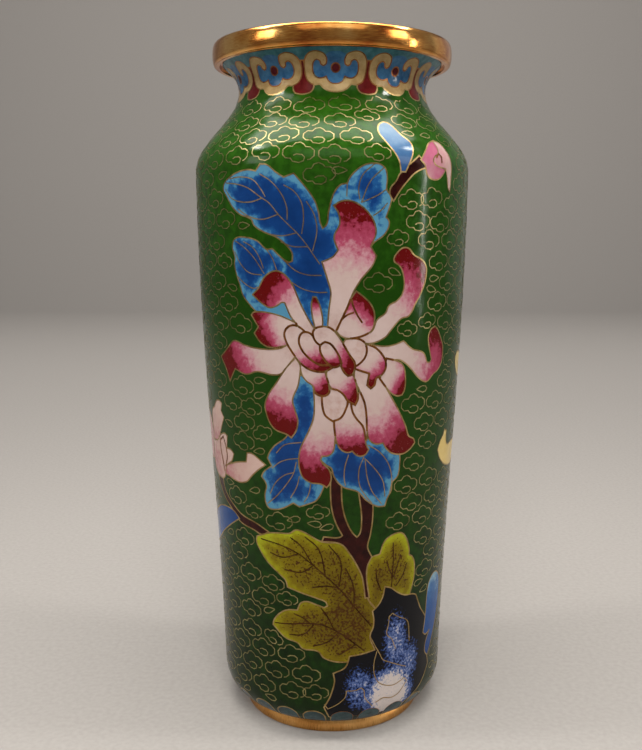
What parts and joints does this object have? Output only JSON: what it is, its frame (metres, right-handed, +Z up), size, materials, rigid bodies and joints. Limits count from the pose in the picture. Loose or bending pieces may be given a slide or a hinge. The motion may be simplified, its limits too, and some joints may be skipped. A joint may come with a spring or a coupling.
{
  "type": "cloisonne vase",
  "caption": "Slim tapering cloisonne vase with a short flared neck, gilt mouth and foot rings and a chrysanthemum motif in wired enamel cells on a green cloud ground.",
  "frame": {"origin": "centre of the foot ring's underside, on the table", "axes": "+Z up the vase's axis; -Y is the front, the side that the picture shows; +X is to the right seen from the front"},
  "size_m": [0.0806, 0.0806, 0.2],
  "materials": {
    "copper": "spun copper, left bare under the enamel",
    "gilt": "gilt copper, brushed and polished",
    "turquoise_enamel": "plain turquoise counter enamel, glossy",
    "collar_enamel": "dark teal border enamel with cream and blue ruyi heads, glossy",
    "ground_enamel": "green ground enamel, glossy",
    "blue_enamel": "cobalt leaf enamel shading to light blue, glossy",
    "leaf_enamel": "yellow-green leaf enamel with brown speckle, glossy",
    "stem_enamel": "dark maroon stem enamel, glossy",
    "rock_enamel": "black rock enamel with blue and white speckle, glossy",
    "pale_pink_enamel": "pale pink petal enamel, glossy",
    "bud_enamel": "pink bud enamel, glossy",
    "yellow_enamel": "warm yellow petal enamel, glossy",
    "petal_enamel": "petal enamel shading from cream to crimson, glossy"
  },
  "bodies": {
    "root": {"copper_base": "copper", "copper_wall": "copper", "copper_neck": "copper", "lining_enamel": "turquoise_enamel", "underside_enamel": "turquoise_enamel", "mouth_ring": "gilt", "foot_ring": "gilt", "collar_enamel": "collar_enamel", "foot_border_enamel": "collar_enamel", "ground_enamel": "ground_enamel", "ground_pocket_1": "ground_enamel", "upper_blue_leaf": "blue_enamel", "left_green_leaf": "leaf_enamel", "right_green_leaf": "leaf_enamel", "main_stem": "stem_enamel", "lower_left_blue_leaf": "blue_enamel", "lower_right_blue_leaf": "blue_enamel", "side_branch": "stem_enamel", "side_blue_leaf": "blue_enamel", "rock": "rock_enamel", "rock_blue_leaf": "blue_enamel", "bud_twig": "stem_enamel", "bud_leaf": "blue_enamel", "bud_petal": "bud_enamel", "bud_hook": "pale_pink_enamel", "side_petal_back": "pale_pink_enamel", "side_petal_top": "pale_pink_enamel", "side_petal_long": "pale_pink_enamel", "side_flower_heart": "pale_pink_enamel", "yellow_heart": "yellow_enamel", "yellow_petal_upper": "yellow_enamel", "yellow_petal_lower": "yellow_enamel", "petal_tail": "petal_enamel", "petal_lower_sliver": "petal_enamel", "petal_lower_right": "petal_enamel", "petal_lower_middle": "petal_enamel", "petal_tongue": "petal_enamel", "petal_lower_left": "petal_enamel", "petal_left_long": "petal_enamel", "petal_left_notched": "petal_enamel", "petal_upper_left": "petal_enamel", "petal_upper_sliver": "petal_enamel", "petal_upper_right": "petal_enamel", "petal_cup": "petal_enamel", "petal_right_hook": "petal_enamel", "petal_right_short": "petal_enamel", "petal_right_spur": "petal_enamel", "petal_crown": "petal_enamel", "petal_knob_left": "petal_enamel", "petal_knob_right": "petal_enamel", "heart_right": "petal_enamel", "heart_outer_curl": "petal_enamel", "heart_left": "petal_enamel", "heart_crest": "petal_enamel", "heart_inner": "petal_enamel"}
  },
  "joints": []
}
